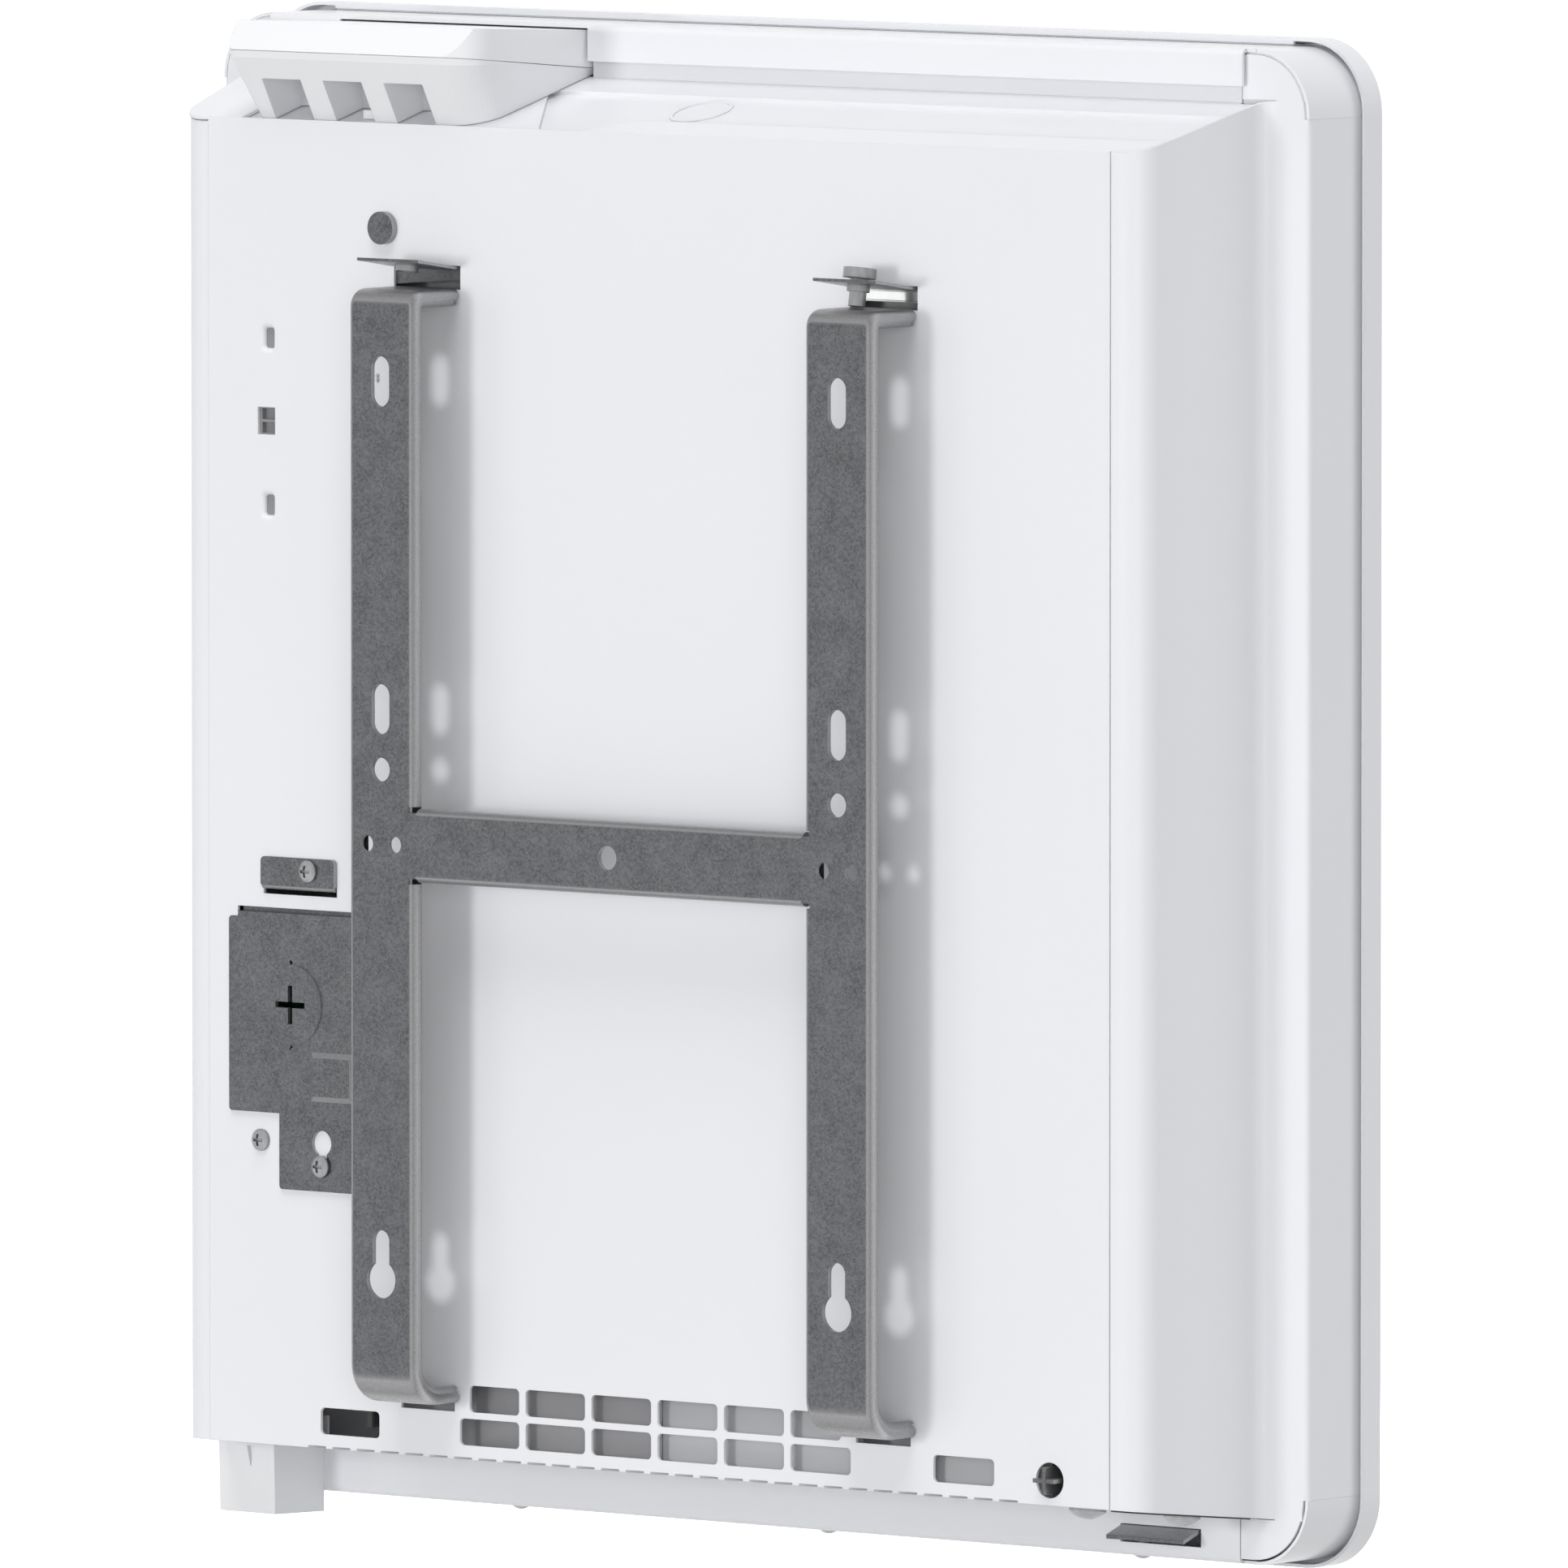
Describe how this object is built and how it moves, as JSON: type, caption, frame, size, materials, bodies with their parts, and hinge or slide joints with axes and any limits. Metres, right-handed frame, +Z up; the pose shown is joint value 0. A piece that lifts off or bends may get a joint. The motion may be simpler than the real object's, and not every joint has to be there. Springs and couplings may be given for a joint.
{
  "type": "wall convector heater",
  "caption": "White sheet-steel wall convector heater on a galvanised H-shaped wall bracket, with rear vent slots, a sloped top carrying the control unit, cable cover and locking screw",
  "frame": {"origin": "centre hole of the bracket's crossbar, on the wall plane", "axes": "+X to the right seen from the room, +Y into the wall, +Z up; the front faces -Y"},
  "size_m": [0.426, 0.1006, 0.4536],
  "materials": {
    "galvanised": "hot-dip galvanised sheet with fine spangle",
    "white_enamel": "smooth white powder coat, half gloss",
    "white_plastic": "smooth white moulding",
    "grille_plastic": "fine-textured white moulding",
    "zinc_screw": "bright zinc plated",
    "white_screw": "white lacquered",
    "key_plastic": "satin light grey",
    "black_plastic": "fine-textured black",
    "grey_plastic": "mid-grey moulding",
    "dark_glass": "clear-coated dark window",
    "board_green": "solder-masked board",
    "natural_plastic": "natural insulating moulding",
    "aluminised": "aluminised sheet",
    "element_aluminium": "extruded, mill finish"
  },
  "bodies": {
    "wall_bracket": {"bracket_rail_right": "galvanised", "bracket_rail_left": "galvanised", "bracket_crossbar": "galvanised"},
    "heater": {"rear_panel": "white_enamel", "side_panel_left": "white_enamel", "side_panel_right": "white_enamel", "top_plate": "white_enamel", "shell_top": "white_enamel", "shell_bottom": "white_enamel", "front_panel": "white_enamel", "outlet_grille": "grille_plastic", "control_base": "white_plastic", "control_cap": "white_plastic", "control_board": "board_green", "display_window": "dark_glass", "display_module": "black_plastic", "switch_block": "white_plastic", "rocker_pin": "zinc_screw", "hanger_right": "galvanised", "hanger_left": "galvanised", "clinch_nuts": "zinc_screw", "spacer_disc": "galvanised", "clamp_plate": "galvanised", "rear_screw_set": "zinc_screw", "cover_screw": "zinc_screw", "foot_screw_set": "zinc_screw", "shell_screw_set": "white_screw", "latch_tab": "galvanised", "cross_stud": "galvanised", "sensor_ports": "grey_plastic", "service_port": "grey_plastic", "heat_shield": "aluminised", "partition": "aluminised", "heating_element": "element_aluminium", "element_bushes": "natural_plastic", "element_brackets": "aluminised", "thermal_cutout": "black_plastic", "power_board": "board_green", "board_posts": "natural_plastic", "relay": "black_plastic", "terminal_block": "natural_plastic"},
    "locking_screw": {"locking_screw": "zinc_screw"},
    "cable_cover": {"cable_cover": "galvanised"},
    "mains_rocker": {"mains_rocker": "black_plastic"},
    "key_minus": {"key_minus": "key_plastic"},
    "key_menu": {"key_menu": "key_plastic"},
    "key_plus": {"key_plus": "key_plastic"}
  },
  "joints": [
    {"name": "heater_tilt", "type": "hinge", "parent": "wall_bracket", "child": "heater", "pos_m": [0, -0.0219, -0.16675], "axis": [1, 0, 0], "range_deg": [0, 8]},
    {"name": "locking_screw_travel", "type": "slide", "parent": "heater", "child": "locking_screw", "axis": [0, -0.1483, 0.9889], "range_m": [0, 0.005]},
    {"name": "cable_cover_slide", "type": "slide", "parent": "heater", "child": "cable_cover", "axis": [0, 0, -1], "range_m": [0, 0.0044]},
    {"name": "mains_rocker_tip", "type": "hinge", "parent": "heater", "child": "mains_rocker", "pos_m": [0.187, -0.0575, -0.197], "axis": [0, -1, 0], "range_deg": [0, 14]},
    {"name": "key_minus_press", "type": "slide", "parent": "heater", "child": "key_minus", "axis": [0, 1, 0], "range_m": [0, 0.0008], "stiffness_N_per_m": 400},
    {"name": "key_menu_press", "type": "slide", "parent": "heater", "child": "key_menu", "axis": [0, 1, 0], "range_m": [0, 0.0008], "stiffness_N_per_m": 400},
    {"name": "key_plus_press", "type": "slide", "parent": "heater", "child": "key_plus", "axis": [0, 1, 0], "range_m": [0, 0.0008], "stiffness_N_per_m": 400}
  ]
}
